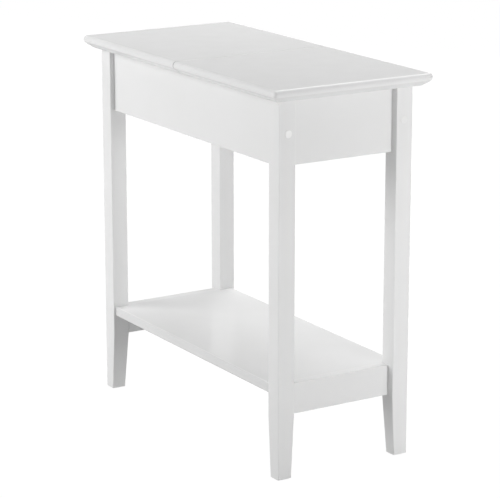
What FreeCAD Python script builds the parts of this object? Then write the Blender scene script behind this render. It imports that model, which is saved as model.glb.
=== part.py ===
import FreeCAD, Part
import math
import os
import Sketcher

# A narrow end table with a lift top. The rear half of the top is fixed, the front half is a
# lid on concealed hinges, and a storage compartment lies under it. A shelf joins the legs low
# down. +Z is up, +Y points to the back, and the origin is on the floor under the middle.

Vector = FreeCAD.Vector
Rotation = FreeCAD.Rotation

doc = FreeCAD.newDocument("lift_top_end_table")

# Driving dimensions: name, millimetres (or degrees), meaning.
SIZES = [
    ("top_length", 597.0, "whole top, front to back"),
    ("top_width", 286.0, "whole top, side to side"),
    ("table_height", 610.0, "floor to the top's upper face"),
    ("top_thickness", 20.0, "thickness of the fixed panel"),
    ("top_overhang", 23.0, "top's edge beyond the legs, all round"),
    ("top_corner_radius", 6.5, "plan radius of the top's corners"),
    ("top_edge_radius", 6.0, "rounding of the top's upper edge"),
    ("nose_flat", 0.5, "upright stretch of the top's edge, between its roundings"),
    ("nose_under_radius", 6.0, "rounding between the upright stretch and the under-bevel"),
    ("edge_undercut", 14.0, "how far the under-bevel runs in"),
    ("lid_length", 294.0, "lid, from its front edge to the seam"),
    ("lid_clearance", 0.4, "lid's underside above the aprons"),
    ("seam_gap", 0.8, "gap between lid and fixed panel"),
    ("seam_arris_radius", 0.6, "rounding of both panels' edges along the seam"),
    ("leg_side", 29.0, "side of the square leg"),
    ("leg_arris_radius", 1.5, "rounding of the legs' long edges"),
    ("foot_taper_x", 5.0, "taken off the foot's side-to-side width"),
    ("foot_taper_y", 7.0, "taken off the foot's front-to-back width"),
    ("board_thickness", 16.0, "aprons and shelf rails"),
    ("board_arris_radius", 1.0, "rounding of the boards' lower edges"),
    ("apron_height", 102.0, "height of the aprons"),
    ("side_apron_inset", 8.0, "side aprons behind the legs' outer faces"),
    ("shelf_top_height", 148.0, "floor to the shelf's upper face"),
    ("shelf_thickness", 16.0, "thickness of the shelf"),
    ("shelf_inset", 4.0, "shelf's long edges behind the legs' outer faces"),
    ("shelf_arris_radius", 3.0, "rounding of the shelf's long edges"),
    ("rail_height", 49.0, "height of the shelf rails"),
    ("floor_thickness", 9.0, "thickness of the compartment floor"),
    ("floor_height", 6.0, "floor's underside above the aprons' lower edge"),
    ("groove_depth", 4.0, "depth of the grooves that hold the floor"),
    ("groove_clearance", 0.3, "floor's edge to the bottom of its groove"),
    ("divider_thickness", 12.0, "thickness of the compartment divider"),
    ("cleat_side", 18.0, "side of the square cleats under the fixed panel"),
    ("cleat_end_gap", 10.0, "cleat's ends to the divider and the back apron"),
    ("hinge_edge_distance", 58.0, "middle of a hinge from the top's side edge"),
    ("barrel_diameter", 14.0, "hinge barrels"),
    ("barrel_length", 22.0, "hinge barrels"),
    ("bore_clearance", 0.1, "radial clearance of a piece in its bore"),
    ("end_clearance", 0.3, "clearance at the bottom of a blind bore"),
    ("link_width", 5.0, "curved hinge link, along the hinge axis"),
    ("link_thickness", 3.5, "curved hinge link, radially"),
    ("link_half_angle", 60.0, "curved hinge link, each side of its middle"),
    ("link_clearance", 0.25, "curved hinge link in its slot"),
    ("link_end_angle", 1.5, "angle left behind the link's end in its slot"),
    ("dowel_diameter", 8.0, "all dowels"),
    ("dowel_length", 30.0, "all dowels"),
    ("dowel_socket", 9.0, "dowel's length in the leg, rail or panel"),
    ("dowel_chamfer", 0.8, "chamfer of the dowels' ends"),
    ("side_dowel_spread", 30.0, "side apron's dowels above and below its bolt"),
    ("end_dowel_edge", 11.0, "end apron's and rail's dowels from their edges"),
    ("shelf_dowel_distance", 31.0, "shelf's dowels from the legs' inner faces"),
    ("divider_dowel_edge", 20.0, "divider's side dowels from its edges"),
    ("divider_dowel_distance", 56.0, "divider's upper dowels from the side aprons"),
    ("cam_diameter", 15.0, "cam locks"),
    ("cam_depth", 12.5, "cam locks"),
    ("cam_distance", 24.0, "middle of a cam lock from the board's end"),
    ("cam_spread", 14.5, "end apron's cams above and below its middle"),
    ("shelf_cam_distance", 61.0, "shelf's cams from the legs' inner faces"),
    ("cam_slot_width", 1.6, "driver slot in a cam lock's face"),
    ("cam_slot_length", 10.0, "driver slot in a cam lock's face"),
    ("cam_bolt_thread", 10.0, "cam bolt's length in the leg or rail"),
    ("cam_bolt_thread_diameter", 6.0, "cam bolt's threaded end"),
    ("cam_bolt_shank_diameter", 5.0, "cam bolt's shank"),
    ("cam_bolt_neck_diameter", 3.5, "cam bolt's neck behind its head"),
    ("cam_bolt_head_diameter", 7.0, "cam bolt's head"),
    ("cam_bolt_head_length", 4.0, "cam bolt's head"),
    ("leg_bolt_diameter", 6.0, "leg bolts"),
    ("leg_bolt_head_diameter", 10.0, "leg bolts' heads"),
    ("leg_bolt_head_height", 4.0, "leg bolts' heads"),
    ("leg_bolt_socket", 4.0, "across flats of the bolt's hexagon socket"),
    ("leg_bolt_sink", 9.0, "depth of the counterbore for the bolt's head"),
    ("leg_bolt_reach", 35.0, "bolt's length in the side apron"),
    ("leg_bolt_chamfer", 0.8, "chamfer of the leg bolts' ends"),
    ("barrel_nut_diameter", 10.0, "barrel nuts"),
    ("barrel_nut_length", 12.0, "barrel nuts"),
    ("barrel_nut_distance", 28.0, "middle of a barrel nut from the apron's end"),
    ("cap_diameter", 12.0, "bolt cover caps"),
    ("cap_rise", 0.8, "bolt cover caps' height above the leg's face"),
    ("cap_round", 0.6, "rounding of the caps' rim"),
    ("cap_stem", 4.0, "length of the caps' stems"),
    ("screw_diameter", 3.5, "cleat screws"),
    ("screw_length", 28.0, "cleat screws"),
    ("screw_head_diameter", 7.0, "cleat screws' countersunk heads"),
    ("screw_tip", 4.0, "length of the screws' points"),
    ("screw_slot_width", 0.9, "driver slot in a screw's head"),
    ("screw_slot_length", 3.5, "driver slot in a screw's head"),
    ("screw_end_distance", 30.0, "upright screws from the cleats' ends"),
    ("screw_stagger", 20.0, "level screws further in than the upright ones"),
    ("bumper_diameter", 8.0, "lid bumpers"),
    ("bumper_recess", 1.2, "depth of the bumpers' recesses"),
    ("front_bumper_distance", 31.0, "front bumpers from the front legs"),
    ("side_bumper_distance", 45.0, "side bumpers from the front legs"),
    ("glide_diameter", 16.0, "foot glides"),
    ("glide_thickness", 1.5, "foot glides"),
    ("glide_nail_diameter", 2.5, "foot glides' nails"),
    ("glide_nail_length", 14.0, "foot glides' nails"),
]

sheet = doc.addObject("Spreadsheet::Sheet", "Sizes")
for row, (name, number, meaning) in enumerate(SIZES, start=1):
    sheet.set(f"A{row}", meaning)
    sheet.set(f"B{row}", str(number))
    sheet.setAlias(f"B{row}", name)
doc.recompute()

# Places worked out from the driving dimensions, as expressions for the sheet's readers.
LEG_OUTER_X = "(Sizes.top_width / 2 - Sizes.top_overhang)"
LEG_OUTER_Y = "(Sizes.top_length / 2 - Sizes.top_overhang)"
LEG_INNER_X = f"({LEG_OUTER_X} - Sizes.leg_side)"
LEG_INNER_Y = f"({LEG_OUTER_Y} - Sizes.leg_side)"
LEG_TOP = "(Sizes.table_height - Sizes.top_thickness)"
LID_THICKNESS = "(Sizes.top_thickness - Sizes.lid_clearance)"
LID_UNDERSIDE = f"({LEG_TOP} + Sizes.lid_clearance)"
FIXED_LENGTH = "(Sizes.top_length - Sizes.lid_length - Sizes.seam_gap)"
SEAM_MIDDLE = "(Sizes.lid_length + Sizes.seam_gap / 2 - Sizes.top_length / 2)"
FIXED_EDGE = "(Sizes.lid_length + Sizes.seam_gap - Sizes.top_length / 2)"
APRON_BOTTOM = f"({LEG_TOP} - Sizes.apron_height)"
APRON_MIDDLE = f"({LEG_TOP} - Sizes.apron_height / 2)"
SIDE_APRON_OUTER = f"({LEG_OUTER_X} - Sizes.side_apron_inset)"
SIDE_APRON_INNER = f"({SIDE_APRON_OUTER} - Sizes.board_thickness)"
SIDE_APRON_MIDDLE = f"({SIDE_APRON_OUTER} - Sizes.board_thickness / 2)"
END_BOARD_OUTER = f"({LEG_INNER_Y} + Sizes.board_thickness)"
END_BOARD_MIDDLE = f"({LEG_INNER_Y} + Sizes.board_thickness / 2)"
SHELF_SIDE = f"({LEG_OUTER_X} - Sizes.shelf_inset)"
SHELF_UNDERSIDE = "(Sizes.shelf_top_height - Sizes.shelf_thickness)"
SHELF_MIDDLE = "(Sizes.shelf_top_height - Sizes.shelf_thickness / 2)"
RAIL_BOTTOM = "(Sizes.shelf_top_height - Sizes.rail_height)"
RAIL_MIDDLE = "(Sizes.shelf_top_height - Sizes.rail_height / 2)"
FLOOR_BOTTOM = f"({APRON_BOTTOM} + Sizes.floor_height)"
FLOOR_TOP = f"({FLOOR_BOTTOM} + Sizes.floor_thickness)"
DIVIDER_BACK = f"({FIXED_EDGE} + Sizes.divider_thickness)"
DIVIDER_MIDDLE = f"({FIXED_EDGE} + Sizes.divider_thickness / 2)"
CLEAT_INNER = f"({SIDE_APRON_INNER} - Sizes.cleat_side)"
CLEAT_MIDDLE = f"({SIDE_APRON_INNER} - Sizes.cleat_side / 2)"
CLEAT_BOTTOM = f"({LEG_TOP} - Sizes.cleat_side)"
CLEAT_FRONT = f"({DIVIDER_BACK} + Sizes.cleat_end_gap)"
CLEAT_BACK = f"({LEG_INNER_Y} - Sizes.cleat_end_gap)"
FOOT_MIDDLE_X = f"({LEG_OUTER_X} - (Sizes.leg_side - Sizes.foot_taper_x) / 2)"
FOOT_MIDDLE_Y = f"({LEG_OUTER_Y} - (Sizes.leg_side - Sizes.foot_taper_y) / 2)"
SIDE_BUMPER_Y = f"({LEG_INNER_Y} - Sizes.side_bumper_distance)"
HINGE_X = "(Sizes.top_width / 2 - Sizes.hinge_edge_distance)"
FRONT_BUMPER_X = f"({LEG_INNER_X} - Sizes.front_bumper_distance)"
SHELF_DOWEL_X = f"({LEG_INNER_X} - Sizes.shelf_dowel_distance)"
SHELF_CAM_X = f"({LEG_INNER_X} - Sizes.shelf_cam_distance)"
DIVIDER_DOWEL_X = f"({SIDE_APRON_INNER} - Sizes.divider_dowel_distance)"

# Radii of pieces and of the bores that they sit in.
DOWEL_RADIUS = "(Sizes.dowel_diameter / 2)"
DOWEL_BORE = f"({DOWEL_RADIUS} + Sizes.bore_clearance)"
SOCKET_DEPTH = "(Sizes.dowel_socket + Sizes.end_clearance)"
DOWEL_REST = "(Sizes.dowel_length - Sizes.dowel_socket + Sizes.end_clearance)"
CAM_BORE = "(Sizes.cam_diameter / 2 + Sizes.bore_clearance)"
CAM_THREAD_BORE = "(Sizes.cam_bolt_thread_diameter / 2 + Sizes.bore_clearance)"
CAM_THREAD_DEPTH = "(Sizes.cam_bolt_thread + Sizes.end_clearance)"
CAM_HEAD_BORE = "(Sizes.cam_bolt_head_diameter / 2 + Sizes.bore_clearance)"
CAM_REACH = "(Sizes.cam_distance + Sizes.cam_bolt_head_length / 2)"
BOLT_BORE = "(Sizes.leg_bolt_diameter / 2 + Sizes.bore_clearance)"
BOLT_HEAD_BORE = "(Sizes.leg_bolt_head_diameter / 2 + Sizes.bore_clearance)"
NUT_BORE = "(Sizes.barrel_nut_diameter / 2 + Sizes.bore_clearance)"
NUT_DEPTH = "(Sizes.board_thickness / 2 + Sizes.barrel_nut_length / 2)"
SCREW_BORE = "(Sizes.screw_diameter / 2 + Sizes.bore_clearance)"
SCREW_HEAD_RISE = "((Sizes.screw_head_diameter - Sizes.screw_diameter) / 2)"
BUMPER_BORE = "(Sizes.bumper_diameter / 2 + Sizes.bore_clearance)"
LINK_RADIUS = "(Sizes.top_thickness / 2)"
NAIL_BORE = "(Sizes.glide_nail_diameter / 2 + Sizes.bore_clearance)"
NAIL_DEPTH = "(Sizes.glide_nail_length + Sizes.end_clearance)"

# A cut that passes right through a piece, or that starts outside it, overshoots by this much.
OVERSHOOT = "5"

# Edges closer than this to a plane or line count as lying on it.
NEAR = 0.001

QUARTER_TURN = 90

# Each plane of a body's origin: 1 if its normal points along the world axis, -1 if against it.
PLANES = {"XY_Plane": 1, "XZ_Plane": -1, "YZ_Plane": 1}


def value(text):
    """The number that an expression gives now."""
    return float(sheet.evalExpression(text))


def new_body(label):
    body = doc.addObject("PartDesign::Body", label)
    body.Label = label
    return body


def sketch_on(body, name, plane, at="0"):
    """A sketch on one of the body's own origin planes, moved to the coordinate at."""
    support = next(item for item in body.Origin.OriginFeatures if item.Role == plane)
    sketch = body.newObject("Sketcher::SketchObject", f"{body.Name}_{name}")
    sketch.AttachmentSupport = [(support, "")]
    sketch.MapMode = "FlatFace"
    sketch.setExpression("AttachmentOffset.Base.z", f"{PLANES[plane]} * ({at})")
    return sketch


def pin_point(sketch, geometry, point, x, y):
    """Hold one point of a sketch at x, y from the sketch's origin."""
    for kind, text in (("DistanceX", x), ("DistanceY", y)):
        constraint = Sketcher.Constraint(kind, -1, 1, geometry, point, value(text))
        number = sketch.addConstraint(constraint)
        sketch.setExpression(f"Constraints[{number}]", text)


def outline(sketch, points):
    """A closed outline of straight lines through points, each a pair of expressions."""
    corners = [Vector(value(x), value(y), 0) for x, y in points]
    count = len(corners)
    for index in range(count):
        line = Part.LineSegment(corners[index], corners[(index + 1) % count])
        sketch.addGeometry(line, False)
    for index in range(count):
        joint = Sketcher.Constraint("Coincident", index, 2, (index + 1) % count, 1)
        sketch.addConstraint(joint)
        pin_point(sketch, index, 1, *points[index])


def rectangle(sketch, x, y):
    """A rectangle that spans the pairs of expressions x and y."""
    outline(sketch, [(x[0], y[0]), (x[1], y[0]), (x[1], y[1]), (x[0], y[1])])


def rounded_rectangle(sketch, x, y, radius):
    """A rectangle that spans the pairs of expressions x and y, with an arc at each corner."""
    low_x, high_x = sorted(x, key=value)
    low_y, high_y = sorted(y, key=value)
    # Each corner: its sharp point, and which way the straight sides before and after it lie.
    corners = [
        (high_x, low_y, (-1, 0), (0, 1), 270),
        (high_x, high_y, (0, -1), (-1, 0), 0),
        (low_x, high_y, (1, 0), (0, -1), 90),
        (low_x, low_y, (0, 1), (1, 0), 180),
    ]
    ends = []
    for x_text, y_text, before, after, start_angle in corners:
        points = []
        for across, along in (before, after):
            points.append((f"({x_text} + {across} * {radius})", f"({y_text} + {along} * {radius})"))
        centre_x = value(x_text) + (before[0] + after[0]) * value(radius)
        centre_y = value(y_text) + (before[1] + after[1]) * value(radius)
        ring = Part.Circle(Vector(centre_x, centre_y, 0), Vector(0, 0, 1), value(radius))
        start = math.radians(start_angle)
        arc = sketch.addGeometry(Part.ArcOfCircle(ring, start, start + math.pi / 2), False)
        pin_point(sketch, arc, 1, *points[0])
        pin_point(sketch, arc, 2, *points[1])
        number = sketch.addConstraint(Sketcher.Constraint("Radius", arc, value(radius)))
        sketch.setExpression(f"Constraints[{number}]", radius)
        ends.append((arc, points))
    for index, (arc, points) in enumerate(ends):
        next_arc, next_points = ends[(index + 1) % len(ends)]
        start = Vector(value(points[1][0]), value(points[1][1]), 0)
        end = Vector(value(next_points[0][0]), value(next_points[0][1]), 0)
        line = sketch.addGeometry(Part.LineSegment(start, end), False)
        sketch.addConstraint(Sketcher.Constraint("Coincident", arc, 2, line, 1))
        sketch.addConstraint(Sketcher.Constraint("Coincident", line, 2, next_arc, 1))


def circle(sketch, x, y, radius):
    shape = Part.Circle(Vector(value(x), value(y), 0), Vector(0, 0, 1), value(radius))
    index = sketch.addGeometry(shape, False)
    pin_point(sketch, index, 3, x, y)
    number = sketch.addConstraint(Sketcher.Constraint("Radius", index, value(radius)))
    sketch.setExpression(f"Constraints[{number}]", radius)


def pad(body, sketch, length):
    """Pad a sketch towards the positive side of its plane's world axis."""
    feature = body.newObject("PartDesign::Pad", f"{sketch.Name}_pad")
    feature.Profile = sketch
    feature.setExpression("Length", length)
    feature.Reversed = sketch.AttachmentSupport[0][0].Role == "XZ_Plane"
    doc.recompute()
    return feature


def pocket(body, sketch, depth, toward):
    """Cut a sketch to a depth, toward the plus (1) or minus (-1) side of the world axis."""
    before = body.Shape.Volume
    normal = PLANES[sketch.AttachmentSupport[0][0].Role]
    feature = body.newObject("PartDesign::Pocket", f"{sketch.Name}_pocket")
    feature.Profile = sketch
    feature.setExpression("Length", depth)
    feature.Reversed = normal == toward
    doc.recompute()
    if body.Shape.Volume >= before:
        raise ValueError(f"{feature.Name} cuts nothing")
    return feature


def drill(body, name, plane, at, centres, radius, depth, toward):
    """Round holes of one radius and depth, drilled from the face at the coordinate at."""
    sketch = sketch_on(body, name, plane, at)
    for x, y in centres:
        circle(sketch, x, y, radius)
    return pocket(body, sketch, depth, toward)


def turn(body, name, points, groove=False, angle="360", axis="V_Axis"):
    """Revolve an outline in the body's XZ plane about Z (V_Axis) or X (H_Axis)."""
    sketch = sketch_on(body, name, "XZ_Plane")
    outline(sketch, points)
    kind = "PartDesign::Groove" if groove else "PartDesign::Revolution"
    feature = body.newObject(kind, f"{sketch.Name}_turn")
    feature.Profile = sketch
    feature.ReferenceAxis = (sketch, [axis])
    feature.Midplane = True
    feature.setExpression("Angle", angle)
    doc.recompute()
    return feature


def quarter_groove(body, sketch, backwards):
    """Cut a quarter turn of a sketch about its own upright axis."""
    before = body.Shape.Volume
    feature = body.newObject("PartDesign::Groove", f"{sketch.Name}_turn")
    feature.Profile = sketch
    feature.ReferenceAxis = (sketch, ["V_Axis"])
    feature.Angle = QUARTER_TURN
    feature.Reversed = backwards
    doc.recompute()
    if body.Shape.Volume >= before:
        raise ValueError(f"{feature.Name} cuts nothing")
    return feature


def round_edges(body, edges, radius):
    """Fillet the body's edges for which edges(edge) is true."""
    tip = body.Tip
    names = [f"Edge{n}" for n, edge in enumerate(tip.Shape.Edges, start=1) if edges(edge)]
    feature = body.newObject("PartDesign::Fillet", f"{body.Name}_{len(body.Group)}_fillet")
    feature.Base = (tip, names)
    feature.setExpression("Radius", radius)
    doc.recompute()
    return feature


def board(label, x, y, z):
    """A body with one rectangular pad that spans the pairs of expressions x, y and z."""
    body = new_body(label)
    sketch = sketch_on(body, "outline", "XY_Plane", z[0])
    rectangle(sketch, x, y)
    pad(body, sketch, f"{z[1]} - ({z[0]})")
    return body


def place(item, x, y, z, rotation=Rotation()):
    """Set an object's Placement, with its base bound to expressions."""
    item.Placement = FreeCAD.Placement(Vector(value(x), value(y), value(z)), rotation)
    item.setExpression("Placement.Base.x", x)
    item.setExpression("Placement.Base.y", y)
    item.setExpression("Placement.Base.z", z)
    return item


def group(label, members):
    compound = doc.addObject("Part::Compound", label)
    compound.Links = members
    compound.Label = label
    return compound


def mirrored(source, normal):
    """The source's mirror image in the plane through the origin with this normal."""
    image = doc.addObject("Part::Mirroring", f"{source.Name}_image")
    image.Source = source
    image.Normal = normal
    return image


def pair(label, source, normal=Vector(1, 0, 0)):
    """A group of the source and its mirror image, left and right unless told otherwise."""
    return group(label, [source, mirrored(source, normal)])


def four(label, source):
    """A group of the source and its images at the table's four corners."""
    sides = pair(f"{label}_sides", source)
    return pair(label, sides, Vector(0, 1, 0))


def sign(number, text):
    return f"{number} * {text}"


def both_sides(text):
    return (sign(-1, text), text)


# Directions that a piece made along +Z can be laid in.
ALONG_X = Rotation(Vector(0, 1, 0), 90)
ALONG_Y = Rotation(Vector(1, 0, 0), -90)
AGAINST_Y = Rotation(Vector(1, 0, 0), 90)
UP = Rotation()
HALF_TURN = Rotation(Vector(0, 0, 1), 180)


# --- The top ---------------------------------------------------------------------------

def moulding_cut(sketch, edge, out, thickness, inner):
    """What is cut away below the edge of the top: out is 1 or -1, the way outwards.

    The cut follows the rounding under the nose, then the under-bevel to the first of the
    inner points, and goes back through the others below the panel."""
    radius = "Sizes.nose_under_radius"
    level = nose_level(thickness)
    bend = bevel_bend(thickness)
    touch = (f"({edge} - {out} * {radius} * (1 - cos({bend})))", f"({level} - {radius} * sin({bend}))")
    outside = f"({edge} + {out} * {OVERSHOOT})"
    chain = [touch] + inner + [(outside, "0"), (outside, level), (edge, level)]

    centre = Vector(value(edge) - out * value(radius), value(level), 0)
    ring = Part.Circle(centre, Vector(0, 0, 1), value(radius))
    turned = math.radians(value(bend))
    start = -turned if out > 0 else math.pi
    arc = sketch.addGeometry(Part.ArcOfCircle(ring, start, start + turned), False)
    low_end, high_end = (1, 2) if out > 0 else (2, 1)
    pin_point(sketch, arc, low_end, *touch)
    pin_point(sketch, arc, high_end, edge, level)
    number = sketch.addConstraint(Sketcher.Constraint("Radius", arc, value(radius)))
    sketch.setExpression(f"Constraints[{number}]", radius)

    corners = [Vector(value(x), value(y), 0) for x, y in chain]
    lines = []
    for begin, end in zip(corners, corners[1:]):
        lines.append(sketch.addGeometry(Part.LineSegment(begin, end), False))
    for line, after in zip(lines, lines[1:]):
        sketch.addConstraint(Sketcher.Constraint("Coincident", line, 2, after, 1))
    sketch.addConstraint(Sketcher.Constraint("Coincident", arc, low_end, lines[0], 1))
    sketch.addConstraint(Sketcher.Constraint("Coincident", lines[-1], 2, arc, high_end))
    for line, point in zip(lines, chain[1:-1]):
        pin_point(sketch, line, 2, *point)


def nose_level(thickness):
    """Where the rounding under the nose starts, above the panel's underside."""
    return f"({thickness} - Sizes.top_edge_radius - Sizes.nose_flat)"


def bevel_bend(thickness):
    """How far the rounding under the nose turns before it runs on as the under-bevel."""
    level = nose_level(thickness)
    reach = "(Sizes.edge_undercut - Sizes.nose_under_radius)"
    distance = f"sqrt({reach} * {reach} + {level} * {level})"
    return f"(atan({reach} / {level}) + asin(Sizes.nose_under_radius / {distance}))"


def top_panel(label, length, thickness):
    """One half of the top, from its moulded outer end at y = 0 to the seam at y = length."""
    half_width = "(Sizes.top_width / 2)"
    body = board(label, both_sides(half_width), ("0", length), ("0", thickness))

    def outer_corner(edge):
        box = edge.BoundBox
        return box.YMax < NEAR and box.XLength < NEAR

    round_edges(body, outer_corner, "Sizes.top_corner_radius")

    # The moulding runs along the three outer sides and turns about the corners' own centres.
    corner = "Sizes.top_corner_radius"
    corner_x = f"({half_width} - {corner})"
    end_cut = sketch_on(body, "end_moulding", "YZ_Plane", sign(-1, corner_x))
    moulding_cut(end_cut, "0", -1, thickness, [("Sizes.edge_undercut", "0")])
    pocket(body, end_cut, sign(2, corner_x), 1)
    corner_height = f"((Sizes.edge_undercut - {corner}) / tan({bevel_bend(thickness)}))"
    for out, side in ((-1, "left"), (1, "right")):
        foot = sign(out, f"({half_width} - Sizes.edge_undercut)")
        side_cut = sketch_on(body, f"{side}_moulding", "XZ_Plane", corner)
        moulding_cut(side_cut, sign(out, half_width), out, thickness, [(foot, "0")])
        pocket(body, side_cut, f"({length} - {corner})", 1)

        corner_cut = sketch_on(body, f"{side}_corner_moulding", "XZ_Plane", corner)
        corner_cut.setExpression("AttachmentOffset.Base.x", sign(out, corner_x))
        moulding_cut(corner_cut, sign(out, corner), out, thickness, [("0", corner_height), ("0", "0")])
        quarter_groove(body, corner_cut, out > 0)

    full_length = value(length)
    top = value(thickness)

    def upper_edge(edge):
        box = edge.BoundBox
        return box.ZMin > top - NEAR and box.YMin < full_length - NEAR

    round_edges(body, upper_edge, "Sizes.top_edge_radius")

    def seam_edge(edge):
        return edge.BoundBox.YMin > full_length - NEAR

    round_edges(body, seam_edge, "Sizes.seam_arris_radius")

    # The bores in the seam face that hold the hinge barrels.
    height = f"({thickness} - {LINK_RADIUS})"
    centres = [(x, height) for x in both_sides(HINGE_X)]
    radius = "(Sizes.barrel_diameter / 2 + Sizes.bore_clearance)"
    drill(body, "hinge_bores", "XZ_Plane", length, centres, radius, "Sizes.barrel_length", -1)
    return body


def lid_panel():
    body = top_panel("lid_panel", "Sizes.lid_length", LID_THICKNESS)
    return place(body, "0", "-Sizes.top_length / 2", LID_UNDERSIDE)


def fixed_top_panel():
    """The rear half of the top, turned end for end, with its fixings from below."""
    body = top_panel("fixed_top_panel", FIXED_LENGTH, "Sizes.top_thickness")
    from_back = f"(Sizes.top_length / 2 - {DIVIDER_MIDDLE})"
    centres = [(x, from_back) for x in both_sides(DIVIDER_DOWEL_X)]
    drill(body, "dowel_bores", "XY_Plane", "0", centres, DOWEL_BORE, SOCKET_DEPTH, 1)
    centres = []
    for y in upright_screw_places():
        from_back = f"(Sizes.top_length / 2 - {y})"
        centres += [(x, from_back) for x in both_sides(CLEAT_MIDDLE)]
    depth = "(Sizes.screw_length - Sizes.cleat_side + Sizes.end_clearance)"
    drill(body, "screw_bores", "XY_Plane", "0", centres, SCREW_BORE, depth, 1)
    return place(body, "0", "Sizes.top_length / 2", LEG_TOP, HALF_TURN)


# --- Hinges ----------------------------------------------------------------------------
# Each hinge is modelled about its own axis: X along the hinge, origin in the upper face at
# the middle of the seam. The link's arc is centred on that axis, so the lid's upper arris
# stays where it is while the lid turns.

def hinge_barrel(label, side, toward):
    """A barrel let into one panel: toward is -1 for the lid's and 1 for the fixed one."""
    body = new_body(label)
    face = sign(toward, "(Sizes.seam_gap / 2)")
    ends = [face, f"({face} + {toward} * Sizes.barrel_length)"]
    sketch = sketch_on(body, "section", "XZ_Plane", ends[0] if toward > 0 else ends[1])
    circle(sketch, "0", sign(-1, LINK_RADIUS), "(Sizes.barrel_diameter / 2)")
    pad(body, sketch, "Sizes.barrel_length")
    half_width = "(Sizes.link_width / 2 + Sizes.link_clearance)"
    reach = "(Sizes.link_thickness / 2 + Sizes.link_clearance)"
    low = f"-({LINK_RADIUS} + {reach})"
    high = f"-({LINK_RADIUS} - {reach})"
    points = [(f"-{half_width}", low), (half_width, low), (half_width, high), (f"-{half_width}", high)]
    angle = "2 * (Sizes.link_half_angle + Sizes.link_end_angle)"
    turn(body, "slot", points, groove=True, angle=angle, axis="H_Axis")
    return place(body, sign(side, HINGE_X), SEAM_MIDDLE, "Sizes.table_height")


def hinge_link(label, side):
    """The curved link that joins the two barrels and turns half as far as the lid."""
    body = new_body(label)
    half_width = "(Sizes.link_width / 2)"
    low = f"-({LINK_RADIUS} + Sizes.link_thickness / 2)"
    high = f"-({LINK_RADIUS} - Sizes.link_thickness / 2)"
    points = [(f"-{half_width}", low), (half_width, low), (half_width, high), (f"-{half_width}", high)]
    turn(body, "section", points, angle="2 * Sizes.link_half_angle", axis="H_Axis")
    return place(body, sign(side, HINGE_X), SEAM_MIDDLE, "Sizes.table_height")


# --- Legs ------------------------------------------------------------------------------

def leg(label, side, end):
    """A leg: side is -1 left and 1 right, end is -1 front and 1 back."""
    x = (sign(side, LEG_INNER_X), sign(side, LEG_OUTER_X))
    y = (sign(end, LEG_INNER_Y), sign(end, LEG_OUTER_Y))
    foot = "Sizes.glide_thickness"
    body = new_body(label)
    section = sketch_on(body, "section", "XY_Plane", RAIL_BOTTOM)
    rounded_rectangle(section, x, y, "Sizes.leg_arris_radius")
    pad(body, section, f"{LEG_TOP} - {RAIL_BOTTOM}")

    # The foot tapers on its two inner faces, from the rail's lower edge down.
    foot_x = (sign(side, f"({LEG_INNER_X} + Sizes.foot_taper_x)"), x[1])
    foot_y = (sign(end, f"({LEG_INNER_Y} + Sizes.foot_taper_y)"), y[1])
    sole = sketch_on(body, "sole", "XY_Plane", foot)
    rounded_rectangle(sole, foot_x, foot_y, "Sizes.leg_arris_radius")
    taper = body.newObject("PartDesign::AdditiveLoft", f"{label}_foot")
    taper.Profile = section
    taper.Sections = [sole]
    taper.Ruled = True
    doc.recompute()

    # The side apron's bolt and dowels enter the inner face that looks along the table.
    bolt_x = sign(side, SIDE_APRON_MIDDLE)
    drill(body, "bolt_bore", "XZ_Plane", y[0], [(bolt_x, APRON_MIDDLE)],
          BOLT_BORE, "Sizes.leg_side", end)
    drill(body, "bolt_sink", "XZ_Plane", y[1], [(bolt_x, APRON_MIDDLE)],
          BOLT_HEAD_BORE, "Sizes.leg_bolt_sink", -end)
    centres = [(bolt_x, z) for z in side_dowel_heights()]
    drill(body, "side_dowel_bores", "XZ_Plane", y[0], centres, DOWEL_BORE, SOCKET_DEPTH, end)

    # The end apron's and the rail's dowels and cam bolts enter the face that looks across it.
    centre_y = sign(end, END_BOARD_MIDDLE)
    centres = [(centre_y, z) for z in end_dowel_heights() + rail_dowel_heights()]
    drill(body, "end_dowel_bores", "YZ_Plane", x[0], centres, DOWEL_BORE, SOCKET_DEPTH, side)
    centres = [(centre_y, z) for z in apron_cam_heights() + [RAIL_MIDDLE]]
    drill(body, "cam_bores", "YZ_Plane", x[0], centres, CAM_THREAD_BORE, CAM_THREAD_DEPTH, side)

    centres = [(sign(side, FOOT_MIDDLE_X), sign(end, FOOT_MIDDLE_Y))]
    drill(body, "nail_bore", "XY_Plane", foot, centres, NAIL_BORE, NAIL_DEPTH, 1)
    return body


def side_dowel_heights():
    return [f"({APRON_MIDDLE} - Sizes.side_dowel_spread)", f"({APRON_MIDDLE} + Sizes.side_dowel_spread)"]


def end_dowel_heights():
    return [f"({APRON_BOTTOM} + Sizes.end_dowel_edge)", f"({LEG_TOP} - Sizes.end_dowel_edge)"]


def rail_dowel_heights():
    low = f"({RAIL_BOTTOM} + Sizes.end_dowel_edge)"
    return [low, "(Sizes.shelf_top_height - Sizes.end_dowel_edge)"]


def apron_cam_heights():
    return [f"({APRON_MIDDLE} - Sizes.cam_spread)", f"({APRON_MIDDLE} + Sizes.cam_spread)"]


def divider_dowel_heights():
    low = f"({FLOOR_TOP} + Sizes.divider_dowel_edge)"
    return [low, f"({LEG_TOP} - Sizes.divider_dowel_edge)"]


def upright_screw_places():
    front = f"({CLEAT_FRONT} + Sizes.screw_end_distance)"
    return [front, f"({CLEAT_BACK} - Sizes.screw_end_distance)"]


def level_screw_places():
    inset = "(Sizes.screw_end_distance + Sizes.screw_stagger)"
    return [f"({CLEAT_FRONT} + {inset})", f"({CLEAT_BACK} - {inset})"]


# --- Boards ----------------------------------------------------------------------------

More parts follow.
